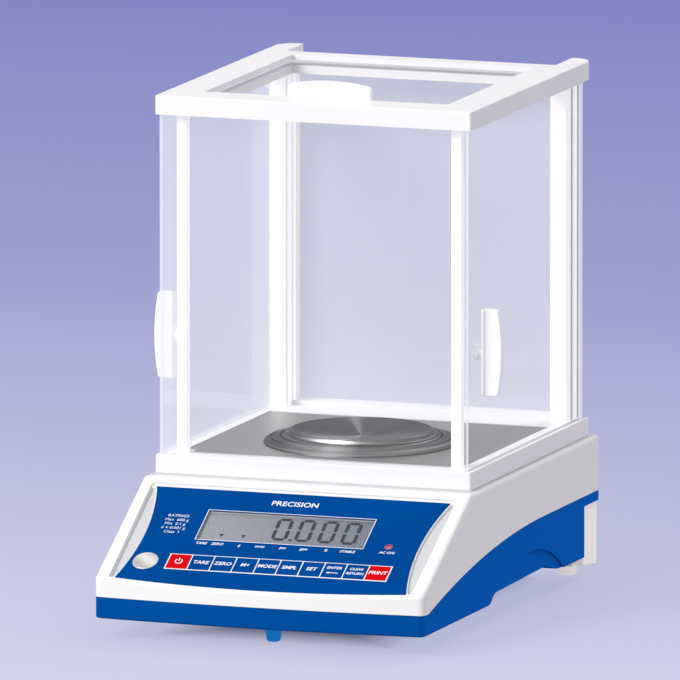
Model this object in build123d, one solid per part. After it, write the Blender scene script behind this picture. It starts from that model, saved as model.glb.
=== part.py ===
from build123d import *
import os
from math import cos, radians, sin, tan

# Precision balance with a glass draft shield. Millimetres; X runs left to right, Y front to
# back, Z up. The table is z = 0 and the origin is the middle of the footprint.

# Housing
FOOT_HEIGHT = 12.0            # table to the underside of the housing
HOUSING_WIDTH = 205.0
HOUSING_LENGTH = 316.0        # front corners to the back
FRONT_BOW = 5.0               # how far the middle of the front stands ahead of its corners
HOUSING_HEIGHT = 71.5
CORNER_RADIUS = 4.0
EDGE_RADIUS = 3.0
SKIRT_EDGE_RADIUS = 1.5
WALL = 2.5
SEAM_GAP = 0.2                # between the blue lower shell and the white upper shell

CORNER_Y = -(HOUSING_LENGTH - FRONT_BOW) / 2.0
REAR_Y = CORNER_Y + HOUSING_LENGTH
BASE_Z = FOOT_HEIGHT
HOUSING_TOP_Z = BASE_Z + HOUSING_HEIGHT

# Seam between the shells, seen from the side: (distance behind the front corners, height)
SEAM_FRONT = (8.0, 12.9)
SEAM_MIDDLE = (108.0, 31.6)
SEAM_LEVEL = (215.0, 38.3)

# Lower edge of the side skirts
HAND_STEP = (112.0, 129.0, 6.5)      # start, end and rise of the hand hold's S-shaped step
HAND_HOLD_END = (212.0, 7.7)
SKIRT_REAR = (248.0, 1.7)
NOTCH_Y = CORNER_Y + 287.0           # the lower shell's back wall; the rear panel fills the rest
NOTCH_HEIGHT = 32.3

# Sloping control panel, measured up the slope from the line level with the front corners
PANEL_ANGLE = 29.0
PANEL_START_HEIGHT = 24.5
PANEL_WALL = 4.0
RECESS_DEPTH = 1.2
SCOOP_DEPTH = 1.4                    # further depth of the crescents beside the overlay
OVERLAY_THICKNESS = 0.6
OVERLAY_TOP = (91.3, 88.3)           # half width and distance up the slope of its top corners
OVERLAY_BOTTOM = (90.3, 2.1)
OVERLAY_SIDE_BOW = 6.0
OVERLAY_FRONT_BOW = 4.6
RECESS_TOP = (95.0, 91.0)
RECESS_BOTTOM = (94.0, 0.3)
DISPLAY_CENTRE = (-0.6, 55.3)
DISPLAY_SIZE = (103.6, 27.4)
KEY_ROW_CENTRE = (5.8, 19.5)
KEY_PITCH = 13.74
KEY_WEB = 0.5                        # overlay left between two keys
KEY_GAP = 0.25
KEY_CAP_THICKNESS = 0.55
KEY_TRAVEL = 0.4
KEY_STEM_RADIUS = 2.0
LEVEL_CENTRE = (-76.6, 18.6)
LEVEL_RADIUS = 7.8
LED_CENTRE = (66.6, 44.5)
LED_RADIUS = 1.5
KEY_NAMES = ["power", "tare", "zero", "memory", "mode", "sample", "set", "enter", "return", "print"]

# Boards under the panel, as depths below its face
BOARD_FACE = 9.0
BOARD_THICKNESS = 1.6
SWITCH_TOP = 7.5
LCD_FACE = 2.5

# Draft shield
SHIELD_WIDTH = 197.0
SHIELD_FRONT_Y = CORNER_Y + 94.0
SHIELD_LENGTH = 213.0
PLINTH_HEIGHT = 11.4
SHADOW_GAP = (0.7, 0.6)              # height and depth of the step round the plinth's lower edge
CHAMBER_HEIGHT = 202.5
TOP_FRAME_HEIGHT = 11.3
TOP_FRAME_LENGTH = 191.0             # front bar to the back of the rear bar
SHELF_END = 212.5                    # thin web from the rear bar back to the rear pane
SHELF_THICKNESS = 4.8
ARM_LENGTH = 221.0                   # front bar to the end of the rear arms
ARM_WIDTH = 14.0
ARM_CORNER_RADIUS = 11.0
SIDE_RAIL_WIDTH = 22.7
FRONT_BAR_WIDTH = 23.6
REAR_BAR_WIDTH = 13.0
GLASS = 2.5
RUNNING_GAP = 0.4                    # each side of a sliding pane in its groove

PLINTH_TOP_Z = HOUSING_TOP_Z + PLINTH_HEIGHT
TOP_FRAME_Z = PLINTH_TOP_Z + CHAMBER_HEIGHT
TOP_Z = TOP_FRAME_Z + TOP_FRAME_HEIGHT

DOOR_INNER_X = 94.0                  # inner face of a side pane
DOOR_FRONT_Y = SHIELD_FRONT_Y + 2.4
DOOR_LENGTH = 205.0
DOOR_GROOVE_DEPTH = 4.0
TOP_GLASS_Z = TOP_Z - 6.0
TOP_GLASS_HALF_WIDTH = 80.0
TOP_GLASS_START = 20.0               # behind the shield's front
TOP_GLASS_LENGTH = 169.0

FRONT_POST = (82.3, 88.7, 10.8, 16.7)      # inner and outer x, front and back behind the front
REAR_POST = (83.2, 93.3, 186.0, 211.6)
POST_SEAT = 4.0                            # how far a post stands in the frames
POST_INNER_SLITS = (187.4, 197.1, 205.0)   # their front edges, behind the shield's front
POST_INNER_SLIT = (2.0, 3.0)               # width and depth
POST_OUTER_CHANNELS = (194.2, 205.4)
POST_OUTER_CHANNEL = (4.6, 2.4)
FRONT_GLASS_START = 12.5
REAR_GLASS_START = 207.6
SILL_START = 197.0                         # raised sill in front of the rear pane
SILL_HEIGHT = 2.4

# Handles on the sliding panes
FIN_LENGTH = 51.8
FIN_REACH = 12.0
FIN_END_REACH = 9.5
FIN_THICKNESS = 4.4
SIDE_FIN_SETBACK = 28.0
SIDE_FIN_Z = PLINTH_TOP_Z + 67.2
TOP_FIN_SETBACK = 31.0
TOP_FIN_REACH = 12.4
STUD_RADIUS = 1.9
KNOB_RADIUS = 4.75
KNOB_THICKNESS = 3.0

# Weighing chamber floor and pan
FLOOR_HALF_WIDTH = 87.7
FLOOR_START = 11.6
FLOOR_END = 171.0
FLOOR_CORNER = (6.8, 12.4)
FLOOR_THICKNESS = 1.5
FLOOR_TOP_Z = PLINTH_TOP_Z - 0.5
FLOOR_HOLE_RADIUS = 12.0
PAN_Y = SHIELD_FRONT_Y + 85.8
PAN_RADIUS = 47.3
RING_INNER_RADIUS = 48.0
RING_OUTER_RADIUS = 57.8
PAN_SEAT_Z = FLOOR_TOP_Z + 2.6       # where the pan lies on its support
PAN_THICKNESS = 1.6                  # of its flat middle
PAN_FLAT_RADIUS = 9.0
SPINDLE_RADIUS = 3.0
SPINDLE_FIT = 0.05

# Feet
REAR_FOOT_X = 86.3
REAR_FOOT_Y = CORNER_Y + 301.8
FOOT_PAD_RADIUS = 5.9
FOOT_PAD_HEIGHT = 5.6
FOOT_PAD_ROUNDING = 2.8
FOOT_SCREW_RADIUS = 3.0
FOOT_SCREW_FIT = 0.05
FRONT_FOOT_Y = CORNER_Y + 25.7
FRONT_FOOT_RADII = (3.9, 6.1)        # at the table and at the housing
FRONT_FOOT_ROUNDING = 1.6
INSERT_RADIUS = 4.5
FOOT_BOSS_RADIUS = 8.5
FOOT_BOSS_TOP = 10.0                 # above the underside of the housing
FOOT_POCKET = (7.2, -0.8)            # radius, and roof above the underside of the housing

# Rear panel
PANEL_DROPS = (3.0, 6.0)             # how far its front and back hang below the housing
REAR_PANEL_HALF_WIDTH = 101.5
PANEL_SIDE_GROOVES = ((6.0, 1.9, 1.6), (14.6, 1.4, 0.8))   # setback from the back, width, depth
RIB_RADIUS = 1.2
REAR_PANEL_BACK_Y = REAR_Y - 2.3
INLET_X = -60.0
INLET_RADIUS = 5.5
PORT_X = 45.0
CONNECTOR_Z = BASE_Z + 15.0

# Screws
HOUSING_BOSSES = [(94.0, CORNER_Y + 28.0, 15.0), (93.0, CORNER_Y + 240.0, 30.0)]
PANEL_SCREW_X = 75.0
PANEL_SCREW_HEIGHTS = (6.0, 25.0)

# Load cell
CELL_SIZE = (25.0, 110.0, 30.0)
CELL_FRONT_Y = PAN_Y - 10.0
CELL_Z = 34.0
CELL_MOUNT_LENGTH = 28.0
CELL_SCREW_SETBACKS = (7.0, 21.0)    # from the fixed end

# Main board: left, right, front and back edges and its underside
MAIN_BOARD = (-84.0, -20.0, 30.0, 112.0)
MAIN_BOARD_Z = 30.0

PANEL = Plane(
    origin=(0, CORNER_Y, BASE_Z + PANEL_START_HEIGHT),
    x_dir=(1, 0, 0),
    z_dir=(0, -sin(radians(PANEL_ANGLE)), cos(radians(PANEL_ANGLE))),
)


# ---------------------------------------------------------------- helpers
def block(x0, x1, y0, y1, z0, z1):
    """A box between two opposite corners."""
    centre = Pos((x0 + x1) / 2, (y0 + y1) / 2, (z0 + z1) / 2)
    return centre * Box(x1 - x0, y1 - y0, z1 - z0)


def upright(x, y, z0, z1, radius):
    """A vertical cylinder."""
    return Pos(x, y, (z0 + z1) / 2) * Cylinder(radius, z1 - z0)


def along_y(x, z, y0, y1, radius):
    """A cylinder that runs front to back."""
    return Pos(x, (y0 + y1) / 2, z) * Rot(90, 0, 0) * Cylinder(radius, y1 - y0)


def mirrored(solid):
    """The same solid on the other side of the balance."""
    return mirror(solid, Plane.YZ)


def pair(solid):
    """A solid and its mirror image, as two pieces of one node."""
    return Compound(children=[solid, mirrored(solid)])


def side_point(behind_corner, height):
    """A point of a side view, from its distance behind the front corners and its height."""
    return (CORNER_Y + behind_corner, BASE_Z + height)


def side_prism(edges, half_width=HOUSING_WIDTH):
    """The solid swept across the balance from a closed side view."""
    face = Plane.YZ * make_face(edges)
    return extrude(face, half_width, both=True)


def panel_block(centre, size, depth0, depth1):
    """A box on the control panel, between two depths below its face."""
    middle = Pos(centre[0], centre[1], -(depth0 + depth1) / 2)
    return PANEL.location * middle * Box(size[0], size[1], depth1 - depth0)


def panel_rod(centre, radius, depth0, depth1):
    """A cylinder square to the control panel, between two depths below its face."""
    middle = Pos(centre[0], centre[1], -(depth0 + depth1) / 2)
    return PANEL.location * middle * Cylinder(radius, depth1 - depth0)


def key_centre(index):
    """Centre of one key of the row, on the panel."""
    x0, up = KEY_ROW_CENTRE
    return (x0 + (index - (len(KEY_NAMES) - 1) / 2) * KEY_PITCH, up)


# ---------------------------------------------------------------- housing
def footprint(inset=0.0):
    """Plan of the housing: three straight sides and a front that bows out."""
    half = HOUSING_WIDTH / 2 - inset
    front = CORNER_Y + inset
    back = REAR_Y - inset
    return make_face([
        ThreePointArc((-half, front), (0, front - FRONT_BOW), (half, front)),
        Line((half, front), (half, back)),
        Line((half, back), (-half, back)),
        Line((-half, back), (-half, front)),
    ])


def above_panel(depth):
    """Everything above a plane that lies this far below the panel's face."""
    reach = 2 * HOUSING_LENGTH
    return PANEL.location * Pos(0, 0, reach / 2 - depth) * Box(reach, reach, reach)


def housing_envelope():
    """Both shells together, solid, with their rounded corners and edges."""
    body = Pos(0, 0, BASE_Z) * extrude(footprint(), HOUSING_HEIGHT)
    body = fillet(body.edges().filter_by(Axis.Z), CORNER_RADIUS)
    body -= above_panel(0)
    upper = [e for e in body.edges() if e.center().Z > BASE_Z + SEAM_FRONT[1] + 4
             and abs(e.tangent_at(0.5).Z) < 0.9]
    body = fillet(upper, EDGE_RADIUS)
    lower = [e for e in body.edges() if e.center().Z < BASE_Z + 0.01]
    return fillet(lower, SKIRT_EDGE_RADIUS)


def below_seam(drop):
    """Everything under the seam between the shells, lowered a little."""
    def lowered(point):
        return side_point(point[0], point[1] - drop)

    far_front, far_rear, floor = -40.0, HOUSING_LENGTH + 40.0, -40.0
    return side_prism([
        Line(lowered((far_front, SEAM_FRONT[1])), lowered(SEAM_FRONT)),
        ThreePointArc(lowered(SEAM_FRONT), lowered(SEAM_MIDDLE), lowered(SEAM_LEVEL)),
        Line(lowered(SEAM_LEVEL), lowered((far_rear, SEAM_LEVEL[1]))),
        Line(lowered((far_rear, SEAM_LEVEL[1])), side_point(far_rear, floor)),
        Line(side_point(far_rear, floor), side_point(far_front, floor)),
        Line(side_point(far_front, floor), lowered((far_front, SEAM_FRONT[1]))),
    ])


def s_curve(start, end):
    """Two arcs that join level lines at different heights."""
    middle = ((start[0] + end[0]) / 2, (start[1] + end[1]) / 2)
    first = TangentArc(start, middle, tangent=(1, 0))
    return [first, TangentArc(middle, end, tangent=first % 1)]


def below_skirt(lift):
    """Everything under the skirts' lower edge, raised by the floor's thickness for the inside."""
    def raised(point):
        return side_point(point[0], point[1] + lift)

    step_start, step_end, rise = HAND_STEP
    front, rear, floor = -40.0, HOUSING_LENGTH + 40.0, -60.0
    return side_prism([
        Line(raised((front, 0)), raised((step_start, 0))),
        *s_curve(raised((step_start, 0)), raised((step_end, rise))),
        Line(raised((step_end, rise)), raised(HAND_HOLD_END)),
        *s_curve(raised(HAND_HOLD_END), raised(SKIRT_REAR)),
        Line(raised(SKIRT_REAR), raised((rear, SKIRT_REAR[1]))),
        Line(raised((rear, SKIRT_REAR[1])), side_point(rear, floor)),
        Line(side_point(rear, floor), side_point(front, floor)),
        Line(side_point(front, floor), raised((front, 0))),
    ])


def grip_scoop():
    """The shallow teardrop flute in the right skirt, ahead of the rear foot."""
    tip, heel, toe = side_point(181, 20), side_point(251, 1), side_point(217, 1)
    outline = [
        ThreePointArc(tip, side_point(226, 14.5), heel),
        Line(heel, toe),
        ThreePointArc(toe, side_point(205, 13.5), tip),
    ]
    depth = WALL - 0.9
    face = Plane.YZ.offset(HOUSING_WIDTH / 2 - depth) * make_face(outline)
    return extrude(face, depth + 5)


def boss(x, y, height):
    """A screw boss of the lower shell, still solid."""
    return upright(x, y, BASE_Z + 0.5, BASE_Z + height, 5.0)


def make_base_housing(envelope):
    """Blue lower shell: skirts, floor, screw bosses and the board's standoffs."""
    shell = (envelope & below_seam(SEAM_GAP)) - below_skirt(0)
    shell -= block(-120, 120, NOTCH_Y, REAR_Y + 5, 0, BASE_Z + NOTCH_HEIGHT)
    inside = Pos(0, 0, BASE_Z) * extrude(footprint(WALL), HOUSING_HEIGHT)
    inside -= below_skirt(WALL)
    inside -= block(-120, 120, NOTCH_Y - WALL, REAR_Y + 5, 0, BASE_Z + NOTCH_HEIGHT + WALL)
    shell -= inside
    for x, y, height in HOUSING_BOSSES:
        shell += (boss(x, y, height) + mirrored(boss(x, y, height))) - below_skirt(0)
    for x, y in board_corners():
        shell += upright(x, y, BASE_Z + 2.5, MAIN_BOARD_Z, 3.0) - below_skirt(1.0)
    for height in PANEL_SCREW_HEIGHTS:
        stub = along_y(PANEL_SCREW_X, BASE_Z + height + 3, NOTCH_Y - 10, NOTCH_Y - 1, 4.0)
        shell += (stub + mirrored(stub)) - below_skirt(1.0)
    for x, y, height in HOUSING_BOSSES:
        bore = upright(x, y, BASE_Z - 5, BASE_Z + height + 5, 1.9)
        bore += upright(x, y, BASE_Z - 5, BASE_Z + 6, 3.8)
        shell -= bore + mirrored(bore)
    for height in PANEL_SCREW_HEIGHTS:
        pilot = along_y(PANEL_SCREW_X, BASE_Z + height + 3, NOTCH_Y - 12, NOTCH_Y + 5, 1.6)
        shell -= pilot + mirrored(pilot)
    shell -= grip_scoop() + mirrored(grip_scoop())
    return shell


def overlay_outline():
    """The overlay's outline on the panel: concave sides, a front edge that bows out."""
    (top_x, top_up), (bottom_x, bottom_up) = OVERLAY_TOP, OVERLAY_BOTTOM
    top_left, top_right = (-top_x, top_up), (top_x, top_up)
    bottom_left, bottom_right = (-bottom_x, bottom_up), (bottom_x, bottom_up)
    waist = (top_x + bottom_x) / 2 - OVERLAY_SIDE_BOW
    middle = (top_up + bottom_up) / 2
    return make_face([
        Line(top_left, top_right),
        ThreePointArc(top_right, (waist, middle), bottom_right),
        ThreePointArc(bottom_right, (0, bottom_up - OVERLAY_FRONT_BOW), bottom_left),
        ThreePointArc(bottom_left, (-waist, middle), top_left),
    ])


def recess_outline():
    """The panel's recess: straight sides, the same bowed front edge."""
    (top_x, top_up), (bottom_x, bottom_up) = RECESS_TOP, RECESS_BOTTOM
    face = make_face([
        Line((-top_x, top_up), (top_x, top_up)),
        Line((top_x, top_up), (bottom_x, bottom_up)),
        ThreePointArc((bottom_x, bottom_up), (0, bottom_up - OVERLAY_FRONT_BOW),
                      (-bottom_x, bottom_up)),
        Line((-bottom_x, bottom_up), (-top_x, top_up)),
    ])
    return fillet(face.vertices(), 2.5)


def scoop_outline():
    """The right-hand crescent between the overlay's concave side and the recess's edge."""
    (top_x, top_up), (bottom_x, bottom_up) = OVERLAY_TOP, OVERLAY_BOTTOM
    clear, end, rim = 0.6, 0.8, 0.5
    top, bottom = top_up - end, bottom_up + end
    waist = (top_x + bottom_x) / 2 - OVERLAY_SIDE_BOW + clear
    outer_top, outer_bottom = (RECESS_TOP[0] - rim, top), (RECESS_BOTTOM[0] - rim, bottom)
    return make_face([
        ThreePointArc((top_x + clear, top), (waist, (top + bottom) / 2), (bottom_x + clear, bottom)),
        Line((bottom_x + clear, bottom), outer_bottom),
        Line(outer_bottom, outer_top),
        Line(outer_top, (top_x + clear, top)),
    ])


def panel_cut(face, depth0, depth1):
    """A face of the panel, extruded between two depths below it."""
    placed = PANEL.location * Pos(0, 0, -depth1) * face
    return extrude(placed, depth1 - depth0)


def panel_holes():
    """Openings of the upper shell's panel for the display, keys, level and lamp."""
    holes = panel_block(DISPLAY_CENTRE, (DISPLAY_SIZE[0] + 0.6, DISPLAY_SIZE[1] + 0.6), 0, 12)
    holes += panel_block(DISPLAY_CENTRE, (DISPLAY_SIZE[0] + 4.2, DISPLAY_SIZE[1] + 4.2), 0,
                         RECESS_DEPTH + 1.0)
    for index in range(len(KEY_NAMES)):
        holes += panel_rod(key_centre(index), KEY_STEM_RADIUS + 0.5, 0, 8)
    holes += panel_rod(LEVEL_CENTRE, LEVEL_RADIUS + 0.4, 0, 8)
    holes += panel_rod(LED_CENTRE, LED_RADIUS + 0.2, 0, 8)
    return holes


def board_standoffs():
    """Pillars behind the panel that carry the display board."""
    spots = [(68, 33), (-68, 33), (68, 74), (-68, 74)]
    pillars = [panel_rod(spot, 3.0, PANEL_WALL - 0.5, BOARD_FACE) for spot in spots]
    return sum(pillars[1:], pillars[0])


def make_top_housing(envelope):
    """White upper shell: sloping panel, flat top and side walls."""
    shell = envelope - below_seam(0)
    inside = Pos(0, 0, BASE_Z) * extrude(footprint(WALL), HOUSING_HEIGHT - WALL)
    inside -= above_panel(PANEL_WALL)
    hollow = shell - inside
    for x, y, height in HOUSING_BOSSES:
        pillar = upright(x, y, BASE_Z + height + SEAM_GAP, HOUSING_TOP_Z, 4.0)
        hollow += (pillar + mirrored(pillar)) & (envelope - above_panel(1.0))
    hollow -= panel_cut(recess_outline(), 0, RECESS_DEPTH)
    scoop = panel_cut(scoop_outline(), 0, RECESS_DEPTH + SCOOP_DEPTH)
    hollow -= scoop + mirrored(scoop)
    hollow -= panel_holes()
    for x, y, height in HOUSING_BOSSES:
        pilot = upright(x, y, BASE_Z, BASE_Z + height + 14, 1.75)
        hollow -= pilot + mirrored(pilot)
    hollow += board_standoffs()
    hollow -= upright(0, PAN_Y, HOUSING_TOP_Z - 5, HOUSING_TOP_Z + 5, 20.0)
    return hollow


def board_corners():
    """Standoffs of the main board."""
    x0, x1, y0, y1 = MAIN_BOARD
    return [(x, y) for x in (x0 + 5, x1 - 5) for y in (y0 + 5, y1 - 5)]


def screw(x, y, z, length, shank=1.7, head=3.5, head_height=2.5):
    """A pan-head screw that points up, from the underside of its head."""
    top = upright(x, y, z - head_height, z, head)
    top = chamfer(top.edges().group_by(Axis.Z)[0], 0.6)
    cross = block(x - 1.6, x + 1.6, y - 0.4, y + 0.4, z - head_height, z - head_height + 1)
    cross += block(x - 0.4, x + 0.4, y - 1.6, y + 1.6, z - head_height, z - head_height + 1)
    return top + upright(x, y, z, z + length, shank) - cross


def make_housing_screws():
    """Four long screws that clamp the shells together."""
    screws = []
    for x, y, height in HOUSING_BOSSES:
        one = screw(x, y, BASE_Z + 6, height + 6)
        screws += [one, mirrored(one)]
    return Compound(children=screws)


def make_front_foot():
    """Tapered blue foot under the middle of the front."""
    foot = Pos(0, FRONT_FOOT_Y, FOOT_HEIGHT / 2) * Cone(*FRONT_FOOT_RADII, FOOT_HEIGHT)
    return fillet(foot.edges().group_by(Axis.Z)[0], FRONT_FOOT_ROUNDING)


# ---------------------------------------------------------------- rear panel and connectors
def under_rear_panel():
    """Everything below the rear panel's underside, which falls towards the back."""
    front, back = BASE_Z - PANEL_DROPS[0], BASE_Z - PANEL_DROPS[1]
    outline = Polyline((NOTCH_Y, front), (REAR_PANEL_BACK_Y, back), (REAR_Y, back), (REAR_Y, -5.0),
                       (NOTCH_Y - 1, -5.0), (NOTCH_Y - 1, front), close=True)
    return side_prism(outline)


def make_rear_panel():
    """Ribbed cream cover behind the lower shell, with bosses that carry the rear feet."""
    z0, z1 = BASE_Z - PANEL_DROPS[1], BASE_Z + NOTCH_HEIGHT - 0.3
    half = REAR_PANEL_HALF_WIDTH
    body = block(-half, half, NOTCH_Y, REAR_PANEL_BACK_Y, z0, z1)
    body = fillet(body.edges().filter_by(Axis.Z).group_by(Axis.Y)[-1], 2.0)
    floor_top = BASE_Z - PANEL_DROPS[0] + WALL
    body -= block(-half + WALL, half - WALL, NOTCH_Y - 1, REAR_PANEL_BACK_Y - WALL, floor_top,
                  z1 - WALL)
    for setback, width, depth in PANEL_SIDE_GROOVES:
        start = REAR_PANEL_BACK_Y - setback
        groove = block(half - depth, half + 1, start, start + width, z0 - 1, z1 + 1)
        body -= groove + mirrored(groove)
    for column in range(17):
        x = -88.0 + 11.0 * column
        if abs(x - INLET_X) > 12 and abs(x - PORT_X) > 24 and abs(abs(x) - PANEL_SCREW_X) > 6:
            body += upright(x, REAR_PANEL_BACK_Y, z0, z1, RIB_RADIUS)
    foot_boss = upright(REAR_FOOT_X, REAR_FOOT_Y, z0, BASE_Z + FOOT_BOSS_TOP, FOOT_BOSS_RADIUS)
    body += foot_boss + mirrored(foot_boss)
    body -= under_rear_panel()
    pocket = upright(REAR_FOOT_X, REAR_FOOT_Y, 0, BASE_Z + FOOT_POCKET[1], FOOT_POCKET[0])
    body -= pocket + mirrored(pocket)
    for height in PANEL_SCREW_HEIGHTS:
        z = BASE_Z + height + 3
        post = along_y(PANEL_SCREW_X, z, NOTCH_Y, REAR_PANEL_BACK_Y - 1, 4.0)
        bore = along_y(PANEL_SCREW_X, z, NOTCH_Y - 1, REAR_PANEL_BACK_Y + 3, 1.7)
        bore += along_y(PANEL_SCREW_X, z, REAR_PANEL_BACK_Y - 2, REAR_PANEL_BACK_Y + 3, 3.4)
        body = body + post + mirrored(post) - bore - mirrored(bore)
    hole = upright(REAR_FOOT_X, REAR_FOOT_Y, 0, BASE_Z + FOOT_BOSS_TOP + 1, INSERT_RADIUS)
    body -= hole + mirrored(hole)
    body -= along_y(INLET_X, CONNECTOR_Z, REAR_PANEL_BACK_Y - 6, REAR_PANEL_BACK_Y + 6, INLET_RADIUS)
    body -= block(PORT_X - 9.5, PORT_X + 9.5, REAR_PANEL_BACK_Y - 6, REAR_PANEL_BACK_Y + 6,
                  CONNECTOR_Z - 5, CONNECTOR_Z + 5)
    return body


def make_rear_panel_screws():
    """Four screws through the rear panel into the lower shell's back wall."""
    screws = []
    for height in PANEL_SCREW_HEIGHTS:
        upright_screw = screw(0, 0, 0, REAR_PANEL_BACK_Y - 2 - NOTCH_Y + 9, 1.6, 3.2, 2.0)
        one = Pos(PANEL_SCREW_X, REAR_PANEL_BACK_Y - 2, BASE_Z + height + 3) \
            * Rot(90, 0, 0) * upright_screw
        screws += [one, mirrored(one)]
    return Compound(children=screws)


def make_power_inlet():
    """Low-voltage socket: a round barrel with a centre pin."""
    back = REAR_PANEL_BACK_Y + 0.8
    body = along_y(INLET_X, CONNECTOR_Z, back - 13, back, INLET_RADIUS - 0.1)
    body += along_y(INLET_X, CONNECTOR_Z, REAR_PANEL_BACK_Y, back, INLET_RADIUS + 1.5)
    body += block(INLET_X - 5, INLET_X + 5, back - 17, back - 12, CONNECTOR_Z - 5, CONNECTOR_Z + 5)
    body -= along_y(INLET_X, CONNECTOR_Z, back - 10, back + 1, 3.2)
    return body + along_y(INLET_X, CONNECTOR_Z, back - 11, back - 1, 1.0)


def make_data_port():
    """Nine-way serial port: metal shell, recessed face and two jack posts."""
    back = REAR_PANEL_BACK_Y
    flange = block(PORT_X - 15.4, PORT_X + 15.4, back, back + 0.8, CONNECTOR_Z - 6.2, CONNECTOR_Z + 6.2)
    flange = fillet(flange.edges().filter_by(Axis.Y), 1.5)
    outline = Polyline((-8.4, 4.1), (8.4, 4.1), (7.2, -4.1), (-7.2, -4.1), close=True)
    face = Plane(origin=(PORT_X, back - 8, CONNECTOR_Z), x_dir=(-1, 0, 0), z_dir=(0, 1, 0)) \
        * fillet(make_face(outline).vertices(), 1.2)
    shell = extrude(face, 9.6)
    port = flange + shell
    for row, count in ((1.3, 5), (-1.3, 4)):
        for index in range(count):
            x = PORT_X + (index - (count - 1) / 2) * 2.7
            port -= along_y(x, CONNECTOR_Z + row, back - 4, back + 3, 0.6)
    for side in (-1, 1):
        nut = Pos(PORT_X + side * 12.4, back + 1.3, CONNECTOR_Z) * Rot(90, 0, 0) \
            * extrude(RegularPolygon(2.3, 6), 0.9, both=True)
        port += nut
    return port


def make_foot_inserts():
    """Threaded inserts that the rear foot screws turn in."""
    insert = upright(REAR_FOOT_X, REAR_FOOT_Y, BASE_Z + FOOT_POCKET[1], BASE_Z + FOOT_BOSS_TOP,
                     INSERT_RADIUS)
    insert -= upright(REAR_FOOT_X, REAR_FOOT_Y, 0, BASE_Z + 20, FOOT_SCREW_RADIUS + FOOT_SCREW_FIT)
    return pair(insert)


def make_foot_pad():
    """Round cream pad of the right rear foot, hollow where the screw's end turns in it."""
    pad = upright(REAR_FOOT_X, REAR_FOOT_Y, 0, FOOT_PAD_HEIGHT, FOOT_PAD_RADIUS)
    pad = fillet(pad.edges().group_by(Axis.Z)[0], FOOT_PAD_ROUNDING)
    pad = fillet(pad.edges().group_by(Axis.Z)[-1], 0.6)
    return pad - upright(REAR_FOOT_X, REAR_FOOT_Y, 1.2, 20, FOOT_SCREW_RADIUS + FOOT_SCREW_FIT)


def make_foot_screw():
    """Screw of the right rear foot, from inside the pad up through its insert."""
    stud = upright(REAR_FOOT_X, REAR_FOOT_Y, 1.5, BASE_Z + 12, FOOT_SCREW_RADIUS)
    stud = chamfer(stud.edges().group_by(Axis.Z)[-1], 0.6)
    slot = block(REAR_FOOT_X - 4, REAR_FOOT_X + 4, REAR_FOOT_Y - 0.5, REAR_FOOT_Y + 0.5,
                 BASE_Z + 10.5, BASE_Z + 13)
    return stud - slot


# ---------------------------------------------------------------- draft shield
def shield_block(x0, x1, behind0, behind1, z0, z1):
    """A box placed by its distance behind the shield's front."""
    return block(x0, x1, SHIELD_FRONT_Y + behind0, SHIELD_FRONT_Y + behind1, z0, z1)


def door_groove(z0, z1):
    """The slot in a frame that the right pane slides in, open at the back."""
    return shield_block(DOOR_INNER_X - RUNNING_GAP, DOOR_INNER_X + GLASS + RUNNING_GAP, 2.0, 240, z0, z1)


def post_block(post):
    """The outer size of the right-hand post of a pair, seated in both frames."""
    x0, x1, behind0, behind1 = post
    return shield_block(x0, x1, behind0, behind1, PLINTH_TOP_Z - POST_SEAT, TOP_FRAME_Z + POST_SEAT)


def make_front_glass():
    """Fixed pane between the front posts."""
    return shield_block(-84, 84, FRONT_GLASS_START, FRONT_GLASS_START + GLASS, PLINTH_TOP_Z,
                        TOP_FRAME_Z + 2.6)


def make_rear_glass():
    """Fixed pane between the rear posts."""
    return shield_block(-85.8, 85.8, REAR_GLASS_START, REAR_GLASS_START + GLASS, PLINTH_TOP_Z - 2,
                        TOP_FRAME_Z + 2.6)


def post_pilot(post):
    """The hole that a post's screw cuts its thread in."""
    x0, x1, behind0, behind1 = post
    y = SHIELD_FRONT_Y + (behind0 + behind1) / 2
    return upright((x0 + x1) / 2, y, HOUSING_TOP_Z, HOUSING_TOP_Z + 17, 1.3)


def make_front_post():
    """Slim square post at the front right."""
    post = fillet(post_block(FRONT_POST).edges().filter_by(Axis.Z), 0.6)
    return post - make_front_glass() - post_pilot(FRONT_POST)


def make_rear_post():
    """Wide extruded post at the rear right, with channels down its sides."""
    x0, x1, behind0, behind1 = REAR_POST
    post = fillet(post_block(REAR_POST).edges().filter_by(Axis.Z), 0.6)
    z0, z1 = PLINTH_TOP_Z, TOP_FRAME_Z
    for start in POST_INNER_SLITS:
        width, depth = POST_INNER_SLIT
        post -= shield_block(x0 - 1, x0 + depth, start, start + width, z0, z1)
    for start in POST_OUTER_CHANNELS:
        width, depth = POST_OUTER_CHANNEL
        post -= shield_block(x1 - depth, x1 + 1, start, start + width, z0, z1)
    return post - make_rear_glass() - post_pilot(REAR_POST)


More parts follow.
